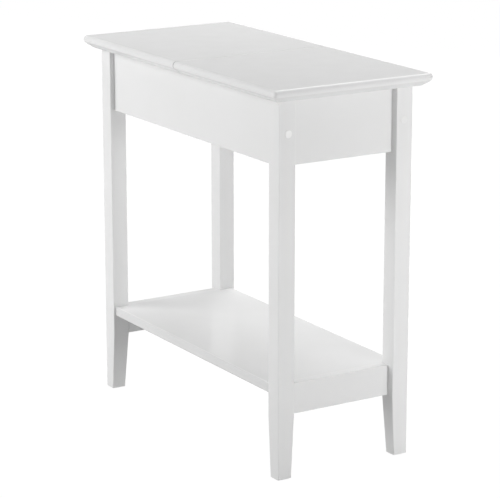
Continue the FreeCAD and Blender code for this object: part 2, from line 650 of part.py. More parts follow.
def lower_outer_edge(bottom, axis, outer):
    """Tells the lower arris of a board's outer face, for round_edges."""
    level = value(bottom)
    place_of_face = value(outer)

    def wanted(edge):
        middle = edge.CenterOfMass
        across = middle.x if axis == "x" else middle.y
        low = edge.BoundBox.ZMax < level + NEAR
        return low and abs(across - place_of_face) < NEAR

    return wanted


def side_apron(label, side):
    """A long wall of the compartment, between the front and the back leg of one side."""
    outer = sign(side, SIDE_APRON_OUTER)
    inner = sign(side, SIDE_APRON_INNER)
    body = board(label, (inner, outer), both_sides(LEG_INNER_Y), (APRON_BOTTOM, LEG_TOP))
    round_edges(body, lower_outer_edge(APRON_BOTTOM, "x", outer), "Sizes.board_arris_radius")

    groove = sketch_on(body, "floor_groove", "YZ_Plane", inner)
    rectangle(groove, both_sides(LEG_INNER_Y), (FLOOR_BOTTOM, FLOOR_TOP))
    pocket(body, groove, "Sizes.groove_depth", side)

    middle = sign(side, SIDE_APRON_MIDDLE)
    for end, name in ((-1, "front"), (1, "back")):
        face = sign(end, LEG_INNER_Y)
        depth = "(Sizes.leg_bolt_reach + Sizes.end_clearance)"
        drill(body, f"{name}_bolt_bore", "XZ_Plane", face, [(middle, APRON_MIDDLE)],
              BOLT_BORE, depth, -end)
        centres = [(middle, z) for z in side_dowel_heights()]
        drill(body, f"{name}_dowel_bores", "XZ_Plane", face, centres, DOWEL_BORE, DOWEL_REST, -end)
    nut_y = f"({LEG_INNER_Y} - Sizes.barrel_nut_distance)"
    centres = [(y, APRON_MIDDLE) for y in both_sides(nut_y)]
    drill(body, "nut_bores", "YZ_Plane", inner, centres, NUT_BORE, NUT_DEPTH, side)

    centres = [(DIVIDER_MIDDLE, z) for z in divider_dowel_heights()]
    drill(body, "divider_dowel_bores", "YZ_Plane", inner, centres, DOWEL_BORE, SOCKET_DEPTH, side)

    cleat_height = f"({LEG_TOP} - Sizes.cleat_side / 2)"
    centres = [(y, cleat_height) for y in level_screw_places()]
    depth = "(Sizes.screw_length - Sizes.cleat_side + Sizes.end_clearance)"
    drill(body, "screw_bores", "YZ_Plane", inner, centres, SCREW_BORE, depth, side)

    centres = [(middle, sign(-1, SIDE_BUMPER_Y))]
    drill(body, "bumper_recess", "XY_Plane", LEG_TOP, centres, BUMPER_BORE, "Sizes.bumper_recess", -1)
    return body


def end_board(label, end, bottom, top, dowel_heights, cam_heights):
    """A board between the two legs of one end, with dowels and cam locks at both ends."""
    outer = sign(end, END_BOARD_OUTER)
    inner = sign(end, LEG_INNER_Y)
    middle = sign(end, END_BOARD_MIDDLE)
    body = board(label, both_sides(LEG_INNER_X), (inner, outer), (bottom, top))
    round_edges(body, lower_outer_edge(bottom, "y", outer), "Sizes.board_arris_radius")
    cam_x = f"({LEG_INNER_X} - Sizes.cam_distance)"
    for side, name in ((-1, "left"), (1, "right")):
        face = sign(side, LEG_INNER_X)
        centres = [(middle, z) for z in dowel_heights]
        drill(body, f"{name}_dowel_bores", "YZ_Plane", face, centres, DOWEL_BORE, DOWEL_REST, -side)
        centres = [(middle, z) for z in cam_heights]
        drill(body, f"{name}_cam_bolt_bores", "YZ_Plane", face, centres,
              CAM_HEAD_BORE, "Sizes.cam_distance", -side)
    centres = [(x, z) for x in both_sides(cam_x) for z in cam_heights]
    drill(body, "cam_bores", "XZ_Plane", inner, centres, CAM_BORE, "Sizes.cam_depth", end)
    return body


def front_apron():
    """The compartment's front wall, with recesses in its upper edge for two lid bumpers."""
    body = end_board("front_apron", -1, APRON_BOTTOM, LEG_TOP, end_dowel_heights(), apron_cam_heights())
    centres = [(x, sign(-1, END_BOARD_MIDDLE)) for x in both_sides(FRONT_BUMPER_X)]
    drill(body, "bumper_recesses", "XY_Plane", LEG_TOP, centres, BUMPER_BORE, "Sizes.bumper_recess", -1)
    return body


def back_apron():
    return end_board("back_apron", 1, APRON_BOTTOM, LEG_TOP, end_dowel_heights(), apron_cam_heights())


def shelf_rail(label, end):
    """The rail under one end of the shelf, flush with the shelf's upper face."""
    top = "Sizes.shelf_top_height"
    body = end_board(label, end, RAIL_BOTTOM, top, rail_dowel_heights(), [RAIL_MIDDLE])
    inner = sign(end, LEG_INNER_Y)
    centres = [(x, SHELF_MIDDLE) for x in both_sides(SHELF_DOWEL_X)]
    drill(body, "shelf_dowel_bores", "XZ_Plane", inner, centres, DOWEL_BORE, SOCKET_DEPTH, end)
    centres = [(x, SHELF_MIDDLE) for x in both_sides(SHELF_CAM_X)]
    drill(body, "shelf_cam_bolt_bores", "XZ_Plane", inner, centres,
          CAM_THREAD_BORE, CAM_THREAD_DEPTH, end)
    return body


def shelf_panel():
    """The shelf, between the two rails and the legs."""
    z = (SHELF_UNDERSIDE, "Sizes.shelf_top_height")
    body = board("shelf_panel", both_sides(SHELF_SIDE), both_sides(LEG_INNER_Y), z)
    side = value(SHELF_SIDE)

    def long_edge(edge):
        box = edge.BoundBox
        return box.XLength < NEAR and box.ZLength < NEAR and abs(abs(box.XMax) - side) < NEAR

    round_edges(body, long_edge, "Sizes.shelf_arris_radius")
    for end, name in ((-1, "front"), (1, "back")):
        face = sign(end, LEG_INNER_Y)
        centres = [(x, SHELF_MIDDLE) for x in both_sides(SHELF_DOWEL_X)]
        drill(body, f"{name}_dowel_bores", "XZ_Plane", face, centres, DOWEL_BORE, DOWEL_REST, -end)
        centres = [(x, SHELF_MIDDLE) for x in both_sides(SHELF_CAM_X)]
        drill(body, f"{name}_cam_bolt_bores", "XZ_Plane", face, centres,
              CAM_HEAD_BORE, "Sizes.cam_distance", -end)
    cam_y = f"({LEG_INNER_Y} - Sizes.cam_distance)"
    centres = [(x, y) for x in both_sides(SHELF_CAM_X) for y in both_sides(cam_y)]
    drill(body, "cam_bores", "XY_Plane", SHELF_UNDERSIDE, centres, CAM_BORE, "Sizes.cam_depth", 1)
    return body


def compartment_floor():
    """The compartment's floor, held by grooves in the side aprons."""
    edge = f"({SIDE_APRON_INNER} + Sizes.groove_depth - Sizes.groove_clearance)"
    return board("compartment_floor", both_sides(edge), both_sides(LEG_INNER_Y), (FLOOR_BOTTOM, FLOOR_TOP))


def compartment_divider():
    """The cross wall behind the storage compartment, under the fixed panel's front edge."""
    body = board("compartment_divider", both_sides(SIDE_APRON_INNER), (FIXED_EDGE, DIVIDER_BACK),
                 (FLOOR_TOP, LEG_TOP))
    for side, name in ((-1, "left"), (1, "right")):
        centres = [(DIVIDER_MIDDLE, z) for z in divider_dowel_heights()]
        drill(body, f"{name}_dowel_bores", "YZ_Plane", sign(side, SIDE_APRON_INNER), centres,
              DOWEL_BORE, DOWEL_REST, -side)
    centres = [(x, DIVIDER_MIDDLE) for x in both_sides(DIVIDER_DOWEL_X)]
    drill(body, "upper_dowel_bores", "XY_Plane", LEG_TOP, centres, DOWEL_BORE, DOWEL_REST, -1)
    return body


def top_cleat(label, side):
    """A square strip in the corner of side apron and fixed panel, screwed to both."""
    x = (sign(side, CLEAT_INNER), sign(side, SIDE_APRON_INNER))
    body = board(label, x, (CLEAT_FRONT, CLEAT_BACK), (CLEAT_BOTTOM, LEG_TOP))
    head = "(Sizes.screw_head_diameter / 2 + Sizes.bore_clearance)"
    middle = sign(side, CLEAT_MIDDLE)
    centres = [(middle, y) for y in upright_screw_places()]
    drill(body, "upright_bores", "XY_Plane", CLEAT_BOTTOM, centres, SCREW_BORE, "Sizes.cleat_side", 1)
    drill(body, "upright_sinks", "XY_Plane", CLEAT_BOTTOM, centres, head, SCREW_HEAD_RISE, 1)
    centres = [(y, f"({LEG_TOP} - Sizes.cleat_side / 2)") for y in level_screw_places()]
    drill(body, "level_bores", "YZ_Plane", x[0], centres, SCREW_BORE, "Sizes.cleat_side", side)
    drill(body, "level_sinks", "YZ_Plane", x[0], centres, head, SCREW_HEAD_RISE, side)
    return body


# --- Fasteners, each made along its own Z axis ------------------------------------------

def dowel(name, x, y, z, rotation):
    """A beech dowel whose middle plane of the joint is at x, y, z, with its socket end first."""
    body = new_body(name)
    radius = DOWEL_RADIUS
    inner = f"({radius} - Sizes.dowel_chamfer)"
    low = "(Sizes.dowel_socket - Sizes.dowel_length)"
    high = "Sizes.dowel_socket"
    turn(body, "profile", [
        ("0", low),
        (inner, low),
        (radius, f"({low} + Sizes.dowel_chamfer)"),
        (radius, f"({high} - Sizes.dowel_chamfer)"),
        (inner, high),
        ("0", high),
    ])
    return place(body, x, y, z, rotation)


def cam_bolt(name, x, y, z, rotation):
    """A cam bolt: thread up from the joint's plane, shank and head down into the board."""
    body = new_body(name)
    thread = "(Sizes.cam_bolt_thread_diameter / 2)"
    shank = "(Sizes.cam_bolt_shank_diameter / 2)"
    neck = "(Sizes.cam_bolt_neck_diameter / 2)"
    head = "(Sizes.cam_bolt_head_diameter / 2)"
    head_start = "(Sizes.cam_distance - Sizes.cam_bolt_head_length / 2)"
    neck_start = f"({head_start} - Sizes.cam_bolt_head_length)"
    turn(body, "profile", [
        ("0", "Sizes.cam_bolt_thread"),
        (thread, "Sizes.cam_bolt_thread"),
        (thread, "0"),
        (shank, "0"),
        (shank, f"-{neck_start}"),
        (neck, f"-({neck_start} + ({shank} - {neck}))"),
        (neck, f"-({head_start} - ({head} - {neck}) / 2)"),
        (head, f"-{head_start}"),
        (head, f"-({CAM_REACH} - ({head} - {neck}) / 2)"),
        (neck, f"-{CAM_REACH}"),
        ("0", f"-{CAM_REACH}"),
    ])
    return place(body, x, y, z, rotation)


def cam_lock(name, board_thickness, x, y, z, rotation):
    """A cam housing: open face at z = 0, body up into the board, bolt entering from +X."""
    body = new_body(name)
    sketch = sketch_on(body, "section", "XY_Plane")
    circle(sketch, "0", "0", "(Sizes.cam_diameter / 2)")
    pad(body, sketch, "Sizes.cam_depth")
    depth = "(Sizes.cam_diameter / 2 + Sizes.cam_bolt_head_length / 2 + Sizes.end_clearance)"
    drill(body, "bolt_bore", "YZ_Plane", "(Sizes.cam_diameter / 2)", [("0", f"({board_thickness} / 2)")],
          CAM_HEAD_BORE, depth, -1)
    slot = sketch_on(body, "driver_slot", "XY_Plane")
    rectangle(slot, both_sides("(Sizes.cam_slot_length / 2)"), both_sides("(Sizes.cam_slot_width / 2)"))
    pocket(body, slot, "Sizes.cam_slot_width", 1)
    return place(body, x, y, z, rotation)


def leg_bolt(name, x, y, z, rotation):
    """A socket-head bolt: its head's seat is at z = 0, the shank runs up, the head is below."""
    body = new_body(name)
    head = "(Sizes.leg_bolt_head_diameter / 2)"
    shank = "(Sizes.leg_bolt_diameter / 2)"
    reach = "(Sizes.leg_side - Sizes.leg_bolt_sink + Sizes.leg_bolt_reach)"
    turn(body, "profile", [
        ("0", "-Sizes.leg_bolt_head_height"),
        (head, "-Sizes.leg_bolt_head_height"),
        (head, "0"),
        (shank, "0"),
        (shank, f"({reach} - Sizes.leg_bolt_chamfer)"),
        (f"({shank} - Sizes.leg_bolt_chamfer)", reach),
        ("0", reach),
    ])
    socket = sketch_on(body, "socket", "XY_Plane", "-Sizes.leg_bolt_head_height")
    corner = "(Sizes.leg_bolt_socket / cos(30))"
    flat = "(Sizes.leg_bolt_socket / 2)"
    outline(socket, [
        (f"({corner} / 2)", "0"),
        (f"({corner} / 4)", flat),
        (f"-({corner} / 4)", flat),
        (f"-({corner} / 2)", "0"),
        (f"-({corner} / 4)", f"-{flat}"),
        (f"({corner} / 4)", f"-{flat}"),
    ])
    pocket(body, socket, "(Sizes.leg_bolt_head_height / 2)", 1)
    return place(body, x, y, z, rotation)


def barrel_nut(name, x, y, z, rotation):
    """A barrel nut along Z with its bolt hole along X, halfway up."""
    body = new_body(name)
    sketch = sketch_on(body, "section", "XY_Plane", "-Sizes.barrel_nut_length / 2")
    circle(sketch, "0", "0", "(Sizes.barrel_nut_diameter / 2)")
    pad(body, sketch, "Sizes.barrel_nut_length")
    drill(body, "bolt_hole", "YZ_Plane", "-Sizes.barrel_nut_diameter", [("0", "0")],
          BOLT_BORE, "2 * Sizes.barrel_nut_diameter", 1)
    return place(body, x, y, z, rotation)


def cover_cap(name, x, y, z, rotation):
    """A plastic cap: its rounded head stands on the leg's face, its stem fills the counterbore."""
    body = new_body(name)
    head = "(Sizes.cap_diameter / 2)"
    stem = "(Sizes.leg_bolt_head_diameter / 2)"
    turn(body, "profile", [
        ("0", "-Sizes.cap_stem"),
        (stem, "-Sizes.cap_stem"),
        (stem, "0"),
        (head, "0"),
        (head, "Sizes.cap_rise"),
        ("0", "Sizes.cap_rise"),
    ])
    top = value("Sizes.cap_rise")
    round_edges(body, lambda edge: edge.BoundBox.ZMin > top - NEAR, "Sizes.cap_round")
    return place(body, x, y, z, rotation)


def screw(name, x, y, z, rotation):
    """A countersunk screw whose head's face is at z = 0 and whose point is up."""
    body = new_body(name)
    shank = "(Sizes.screw_diameter / 2)"
    turn(body, "profile", [
        ("0", "0"),
        ("(Sizes.screw_head_diameter / 2)", "0"),
        (shank, SCREW_HEAD_RISE),
        (shank, "(Sizes.screw_length - Sizes.screw_tip)"),
        ("0", "Sizes.screw_length"),
    ])
    slot = sketch_on(body, "driver_slot", "XY_Plane")
    rectangle(slot, both_sides("(Sizes.screw_slot_length / 2)"), both_sides("(Sizes.screw_slot_width / 2)"))
    pocket(body, slot, "Sizes.screw_slot_width", 1)
    return place(body, x, y, z, rotation)


def bumper(name, x, y):
    """A soft dot in its recess, as tall as the recess and the lid's clearance together."""
    dot = doc.addObject("Part::Cylinder", name)
    dot.setExpression("Radius", "Sizes.bumper_diameter / 2")
    dot.setExpression("Height", "Sizes.bumper_recess + Sizes.lid_clearance")
    return place(dot, x, y, f"({LEG_TOP} - Sizes.bumper_recess)")


def foot_glide(name, x, y):
    """A disc under the foot with a nail up into the leg."""
    body = new_body(name)
    disc = "(Sizes.glide_diameter / 2)"
    nail = "(Sizes.glide_nail_diameter / 2)"
    tip = "(Sizes.glide_thickness + Sizes.glide_nail_length)"
    turn(body, "profile", [
        ("0", "0"),
        (f"({disc} - Sizes.glide_thickness / 2)", "0"),
        (disc, "(Sizes.glide_thickness / 2)"),
        (disc, "Sizes.glide_thickness"),
        (nail, "Sizes.glide_thickness"),
        (nail, f"({tip} - {nail})"),
        ("0", tip),
    ])
    return place(body, x, y, "0")


# --- Groups of fasteners -----------------------------------------------------------------

def leg_bolt_groups():
    """Bolts, their nuts and their caps, at the four corners."""
    x = SIDE_APRON_MIDDLE
    head = f"({LEG_OUTER_Y} - Sizes.leg_bolt_sink)"
    nut = f"({LEG_INNER_Y} - Sizes.barrel_nut_distance)"
    bolt = leg_bolt("leg_bolt", x, head, APRON_MIDDLE, AGAINST_Y)
    across = Rotation(Vector(0, 0, 1), Vector(1, 0, 0)) * Rotation(Vector(0, 0, 1), 90)
    nut_piece = barrel_nut("barrel_nut", x, nut, APRON_MIDDLE, across)
    cap = cover_cap("cover_cap", x, LEG_OUTER_Y, APRON_MIDDLE, ALONG_Y)
    return [
        four("leg_bolts", bolt),
        four("leg_barrel_nuts", nut_piece),
        four("bolt_cover_caps", cap),
    ]


def cam_groups(name, heights):
    """Cam bolts and cam locks of the end boards, at the four corners."""
    bolts = []
    locks = []
    lock_x = f"({LEG_INNER_X} - Sizes.cam_distance)"
    for number, z in enumerate(heights, start=1):
        bolts.append(cam_bolt(f"{name}_cam_bolt_{number}", LEG_INNER_X, END_BOARD_MIDDLE, z, ALONG_X))
        locks.append(cam_lock(f"{name}_cam_lock_{number}", "Sizes.board_thickness",
                              lock_x, LEG_INNER_Y, z, ALONG_Y))
    bolt_set = group(f"{name}_cam_bolt_set", bolts)
    lock_set = group(f"{name}_cam_lock_set", locks)
    return [four(f"{name}_cam_bolts", bolt_set), four(f"{name}_cam_locks", lock_set)]


def shelf_cam_groups():
    """Cam bolts and cam locks between the shelf and its rails."""
    lock_y = f"({LEG_INNER_Y} - Sizes.cam_distance)"
    towards_back = Rotation(Vector(0, 0, 1), 90)
    bolt = cam_bolt("shelf_cam_bolt", SHELF_CAM_X, LEG_INNER_Y, SHELF_MIDDLE, ALONG_Y)
    lock = cam_lock("shelf_cam_lock", "Sizes.shelf_thickness", SHELF_CAM_X, lock_y,
                    SHELF_UNDERSIDE, towards_back)
    return [four("shelf_cam_bolts", bolt), four("shelf_cam_locks", lock)]


def dowel_groups():
    """The dowels of every joint, grouped by joint."""
    side = []
    for number, z in enumerate(side_dowel_heights(), start=1):
        side.append(dowel(f"side_dowel_{number}", SIDE_APRON_MIDDLE, LEG_INNER_Y, z, ALONG_Y))
    end = []
    for number, z in enumerate(end_dowel_heights(), start=1):
        end.append(dowel(f"end_dowel_{number}", LEG_INNER_X, END_BOARD_MIDDLE, z, ALONG_X))
    rail = []
    for number, z in enumerate(rail_dowel_heights(), start=1):
        rail.append(dowel(f"rail_dowel_{number}", LEG_INNER_X, END_BOARD_MIDDLE, z, ALONG_X))
    shelf = dowel("shelf_dowel", SHELF_DOWEL_X, LEG_INNER_Y, SHELF_MIDDLE, ALONG_Y)
    divider = []
    for number, z in enumerate(divider_dowel_heights(), start=1):
        divider.append(dowel(f"divider_dowel_{number}", SIDE_APRON_INNER, DIVIDER_MIDDLE, z, ALONG_X))
    divider.append(dowel("divider_dowel_top", DIVIDER_DOWEL_X, DIVIDER_MIDDLE, LEG_TOP, UP))
    return [
        four("side_apron_dowels", group("side_dowel_set", side)),
        four("end_apron_dowels", group("end_dowel_set", end)),
        four("rail_dowels", group("rail_dowel_set", rail)),
        four("shelf_dowels", shelf),
        pair("divider_dowels", group("divider_dowel_set", divider)),
    ]


def screw_groups():
    """The cleats' screws: upright ones into the fixed panel, level ones into the aprons."""
    upright = []
    for number, y in enumerate(upright_screw_places(), start=1):
        upright.append(screw(f"upright_screw_{number}", CLEAT_MIDDLE, y, CLEAT_BOTTOM, UP))
    level = []
    height = f"({LEG_TOP} - Sizes.cleat_side / 2)"
    for number, y in enumerate(level_screw_places(), start=1):
        level.append(screw(f"level_screw_{number}", CLEAT_INNER, y, height, ALONG_X))
    return [
        pair("top_screws", group("upright_screw_set", upright)),
        pair("cleat_screws", group("level_screw_set", level)),
    ]


def bumper_group():
    front = bumper("front_bumper", FRONT_BUMPER_X, sign(-1, END_BOARD_MIDDLE))
    side = bumper("side_bumper", SIDE_APRON_MIDDLE, sign(-1, SIDE_BUMPER_Y))
    return pair("lid_bumpers", group("bumper_set", [front, side]))


def all_nodes():
    nodes = [
        lid_panel(),
        fixed_top_panel(),
        leg("front_left_leg", -1, -1),
        leg("front_right_leg", 1, -1),
        leg("back_left_leg", -1, 1),
        leg("back_right_leg", 1, 1),
        side_apron("left_apron", -1),
        side_apron("right_apron", 1),
        front_apron(),
        back_apron(),
        compartment_floor(),
        compartment_divider(),
        shelf_panel(),
        shelf_rail("front_shelf_rail", -1),
        shelf_rail("back_shelf_rail", 1),
        top_cleat("left_top_cleat", -1),
        top_cleat("right_top_cleat", 1),
    ]
    for side, name in ((-1, "left"), (1, "right")):
        nodes.append(hinge_barrel(f"{name}_hinge_lid_barrel", side, -1))
        nodes.append(hinge_barrel(f"{name}_hinge_fixed_barrel", side, 1))
        nodes.append(hinge_link(f"{name}_hinge_link", side))
    nodes += leg_bolt_groups()
    nodes += cam_groups("apron", apron_cam_heights())
    nodes += cam_groups("rail", [RAIL_MIDDLE])
    nodes += shelf_cam_groups()
    nodes += dowel_groups()
    nodes += screw_groups()
    nodes.append(bumper_group())
    nodes.append(four("foot_glides", foot_glide("foot_glide", FOOT_MIDDLE_X, FOOT_MIDDLE_Y)))
    return nodes


NODES = all_nodes()
doc.recompute()

for item in doc.Objects:
    if "Invalid" in item.State or "Error" in item.State:
        raise ValueError(f"{item.Label} failed: {item.State}")
for node in NODES:
    if node.Shape.isNull() or not node.Shape.isValid():
        raise ValueError(f"{node.Label} has no valid shape")

os.makedirs("parts", exist_ok=True)
for node in NODES:
    node.Shape.exportStep(f"parts/{node.Label}.step")
    print(node.Label, len(node.Shape.Solids), round(node.Shape.Volume, 1))
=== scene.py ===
import math

import bpy
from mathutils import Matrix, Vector


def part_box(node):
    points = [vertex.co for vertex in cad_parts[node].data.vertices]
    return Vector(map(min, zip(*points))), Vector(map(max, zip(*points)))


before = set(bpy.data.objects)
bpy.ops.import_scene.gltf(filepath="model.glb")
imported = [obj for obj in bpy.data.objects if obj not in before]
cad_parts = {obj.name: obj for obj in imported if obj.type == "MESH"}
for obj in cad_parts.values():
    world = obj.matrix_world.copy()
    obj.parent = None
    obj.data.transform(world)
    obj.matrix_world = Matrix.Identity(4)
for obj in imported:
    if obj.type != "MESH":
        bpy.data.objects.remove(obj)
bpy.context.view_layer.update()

# Lengths are metres where the name gives no other unit, angles degrees and powers watts.

# The photograph's frame in pixels, and the camera that matches it.
PHOTO_WIDTH = 500
FOCAL_PIXELS = 2231.2
SENSOR_MM = 36.0
CAMERA_AZIMUTH = -31.73
CAMERA_ELEVATION = 14.69
CAMERA_DISTANCE = 3.615
CAMERA_AIM = Vector((-0.0013, -0.0023, 0.2898))

# The studio: a white floor that only the camera sees, a grey one below it that lights the
# object from below, an even sky, a lit wall behind and soft lights round the object.
FLOOR_SIDE = 60.0
WHITE_FLOOR_GREY = 0.03
WHITE_FLOOR_GLOW = 0.985
FLOOR_GREY = 0.65
FLOOR_GLOW = 0.02
BOUNCE_FLOOR_DROP = 0.002
FLOOR_CLOUD_SCALE = 1.5
FLOOR_CLOUD_SHADE = 0.98
FLOOR_ROUGHNESS = 0.9
FLOOR_SPECULAR = 0.1
SKY_STRENGTH = 0.274
LIGHT_AIM = Vector((0.0, 0.0, 0.35))
FRONT_AIM = Vector((0.45, 0.0, 0.45))
FRONT_SPREAD = 50.0
WALL_AZIMUTH = 122.0
WALL_DISTANCE = 3.5
WALL_WIDTH = 8.0
WALL_HEIGHT = 1.2
WALL_RADIANCE = 0.80
WHITE = (1.0, 1.0, 1.0, 1.0)


# --- Node helpers --------------------------------------------------------------------------

# The span of numbers that a noise gives over most of a surface.
NOISE_LOW = 0.3
NOISE_HIGH = 0.7


def new_material(name):
    """A material, its node tree and its Principled shader."""
    material = bpy.data.materials.new(name)
    material.use_nodes = True
    nodes = material.node_tree.nodes
    shader = nodes["Principled BSDF"]
    return material, material.node_tree, shader


def place_coordinates(tree, stretch=(1.0, 1.0, 1.0)):
    """Positions on the piece, in metres, stretched along its axes."""
    source = tree.nodes.new("ShaderNodeTexCoord")
    mapping = tree.nodes.new("ShaderNodeMapping")
    mapping.inputs["Scale"].default_value = stretch
    tree.links.new(source.outputs["Object"], mapping.inputs["Vector"])
    return mapping.outputs["Vector"]


def noise(tree, vector, scale, detail=2.0, rough=0.5, distortion=0.0):
    """Soft random spots, so many to a metre as the scale says."""
    node = tree.nodes.new("ShaderNodeTexNoise")
    node.inputs["Scale"].default_value = scale
    node.inputs["Detail"].default_value = detail
    node.inputs["Roughness"].default_value = rough
    node.inputs["Distortion"].default_value = distortion
    tree.links.new(vector, node.inputs["Vector"])
    return node.outputs["Fac"]


def ramp(tree, factor, low, high):
    """A smooth blend from the colour low to the colour high over the noise's usual span."""
    node = tree.nodes.new("ShaderNodeValToRGB")
    node.color_ramp.interpolation = "EASE"
    node.color_ramp.elements[0].position = NOISE_LOW
    node.color_ramp.elements[1].position = NOISE_HIGH
    node.color_ramp.elements[0].color = (*low, 1.0)
    node.color_ramp.elements[1].color = (*high, 1.0)
    tree.links.new(factor, node.inputs["Fac"])
    return node.outputs["Color"]


def span(tree, value, low, high, start=NOISE_LOW, end=NOISE_HIGH):
    """A value between start and end, mapped to the numbers from low to high."""
    node = tree.nodes.new("ShaderNodeMapRange")
    node.inputs["From Min"].default_value = start
    node.inputs["From Max"].default_value = end
    node.inputs["To Min"].default_value = low
    node.inputs["To Max"].default_value = high
    tree.links.new(value, node.inputs["Value"])
    return node.outputs["Result"]


def scaled(tree, colour, share):
    """The colour, times a share that changes over the piece."""
    node = tree.nodes.new("ShaderNodeVectorMath")
    node.operation = "SCALE"
    tree.links.new(colour, node.inputs["Vector"])
    tree.links.new(share, node.inputs["Scale"])
    return node.outputs["Vector"]


def calculate(tree, operation, value, *others):
    """Arithmetic on a value that changes over the piece and on others, each linked or fixed."""
    node = tree.nodes.new("ShaderNodeMath")
    node.operation = operation
    tree.links.new(value, node.inputs[0])
    for place, other in enumerate(others, start=1):
        if isinstance(other, float):
            node.inputs[place].default_value = other
        else:
            tree.links.new(other, node.inputs[place])
    return node.outputs["Value"]


def axis_part(tree, vector, axis):
    """One axis of a vector."""
    node = tree.nodes.new("ShaderNodeSeparateXYZ")
    tree.links.new(vector, node.inputs["Vector"])
    return node.outputs[axis]


def bump(tree, height, depth, before=None):
    """A bump of that depth in metres, on top of the one before it."""
    node = tree.nodes.new("ShaderNodeBump")
    node.inputs["Strength"].default_value = 1.0
    node.inputs["Distance"].default_value = depth
    tree.links.new(height, node.inputs["Height"])
    if before is not None:
        tree.links.new(before, node.inputs["Normal"])
    return node.outputs["Normal"]


# --- Paint ---------------------------------------------------------------------------------

PAINT_WHITE = 0.80
PAINT_GLOSS = (0.30, 0.40)
PAINT_IOR = 1.48
CLOUD_SCALE = 7.0
CLOUD_SHADE = (0.985, 0.985, 0.982)
GLOSS_SPOT_SCALE = 28.0
PEEL_SCALE = 420.0
PEEL_DEPTH = 0.000015
LEG_GRAIN = (170.0, 170.0, 5.0)
LEG_GRAIN_DEPTH = 0.00012
SHELF_GLOSS = (0.14, 0.18)
SHELF_PEEL = 0.000003

# How far the surface faces upwards, where a board's edge ends and its upper face begins, for the
# painted shade on the edges.
EDGE_END = 0.6
FACE_START = 0.97

# The seam shows as a short dark line where it ends in the moulded edge: a painted shadow of the gap
# there. SEAM_PLACE is where it lies along the top, and SEAM_SHADE the share of white left in its
# ends.
# The paint is darkest up to SEAM_DARK from the seam and white again from SEAM_FADE on. The ends
# begin at SEAM_END_FADE from the top's middle line and have their full shade from SEAM_END_DARK on.
SEAM_PLACE = (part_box("lid_panel")[1][1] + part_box("fixed_top_panel")[0][1]) / 2
SEAM_SHADE = 0.30
SEAM_DARK = 0.0005
SEAM_FADE = 0.0009
SEAM_END_LENGTH = 0.010
SEAM_END_BLEND = 0.004
SEAM_END_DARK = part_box("lid_panel")[1][0] - SEAM_END_LENGTH
SEAM_END_FADE = SEAM_END_DARK - SEAM_END_BLEND


def upward_face_light_share(tree, share):
    """Painted shade: one on a board's upper face, and the share on its edges and below, so the
    upper face reads lighter.
    """
    source = tree.nodes.new("ShaderNodeTexCoord")
    upward = axis_part(tree, source.outputs["Normal"], "Z")
    return span(tree, upward, share, 1.0, start=EDGE_END, end=FACE_START)


def seam_shadow_share(tree, share):
    """Painted shadow in the seam: the share where the cut edges end in the top's moulded edge, and
    one elsewhere.
    """
    position = place_coordinates(tree)
    along = calculate(tree, "SUBTRACT", axis_part(tree, position, "Y"), SEAM_PLACE)
    from_seam = calculate(tree, "ABSOLUTE", along)
    from_middle = calculate(tree, "ABSOLUTE", axis_part(tree, position, "X"))
    beside = span(tree, from_seam, 0.0, 1.0, start=SEAM_FADE, end=SEAM_DARK)
    outward = span(tree, from_middle, 0.0, 1.0, start=SEAM_END_FADE, end=SEAM_END_DARK)
    both = calculate(tree, "MULTIPLY", beside, outward)
    return span(tree, both, 1.0, share, start=0.0, end=1.0)


def paint(name, white=PAINT_WHITE, gloss=PAINT_GLOSS, grain=None, grain_depth=0.0,
          peel=PEEL_DEPTH, edge_shade=None, seam_shade=None):
    """Sprayed white lacquer: faint clouds in the colour, uneven gloss and a fine orange peel.

    grain stretches a second bump along one axis, where wood shows through the paint.
    edge_shade is painted shade that darkens a board's edges and underside against its upper face,
    and seam_shade a painted shadow in the seam's ends."""
    material, tree, shader = new_material(name)
    position = place_coordinates(tree)
    clouds = noise(tree, position, CLOUD_SCALE, detail=3.0)
    shade = tuple(white * part for part in CLOUD_SHADE)
    colour = ramp(tree, clouds, shade, (white, white, white))
    # Painted shade on the edges and underside.
    if edge_shade is not None:
        colour = scaled(tree, colour, upward_face_light_share(tree, edge_shade))
    # Painted shadow in the seam's ends.
    if seam_shade is not None:
        colour = scaled(tree, colour, seam_shadow_share(tree, seam_shade))
    tree.links.new(colour, shader.inputs["Base Color"])
    gloss_spots = noise(tree, position, GLOSS_SPOT_SCALE, detail=4.0, rough=0.6)
    tree.links.new(span(tree, gloss_spots, *gloss), shader.inputs["Roughness"])
    normal = bump(tree, noise(tree, position, PEEL_SCALE), peel)
    if grain is not None:
        stretched = place_coordinates(tree, stretch=grain)
        fibres = noise(tree, stretched, 1.0, detail=5.0, rough=0.65)
        normal = bump(tree, fibres, grain_depth, before=normal)
    tree.links.new(normal, shader.inputs["Normal"])
    shader.inputs["IOR"].default_value = PAINT_IOR
    return material


# --- Bare wood, metal and plastic ----------------------------------------------------------

FIBRE_SCALE = 9.0
FIBRE_SHARE = 0.55
BAND_SCALE = 2.2
BAND_SHARE = 0.45
WOOD_ROUGHNESS = (0.55, 0.75)
METAL_STAIN_SCALE = 90.0
PLASTIC_STAIN_SCALE = 120.0
PLASTIC_IOR = 1.46

# The inner faces of the left and the right legs, between which painted shade dulls the caps' white.
CAP_ROWS = (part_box("front_left_leg")[1][0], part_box("front_right_leg")[0][0])


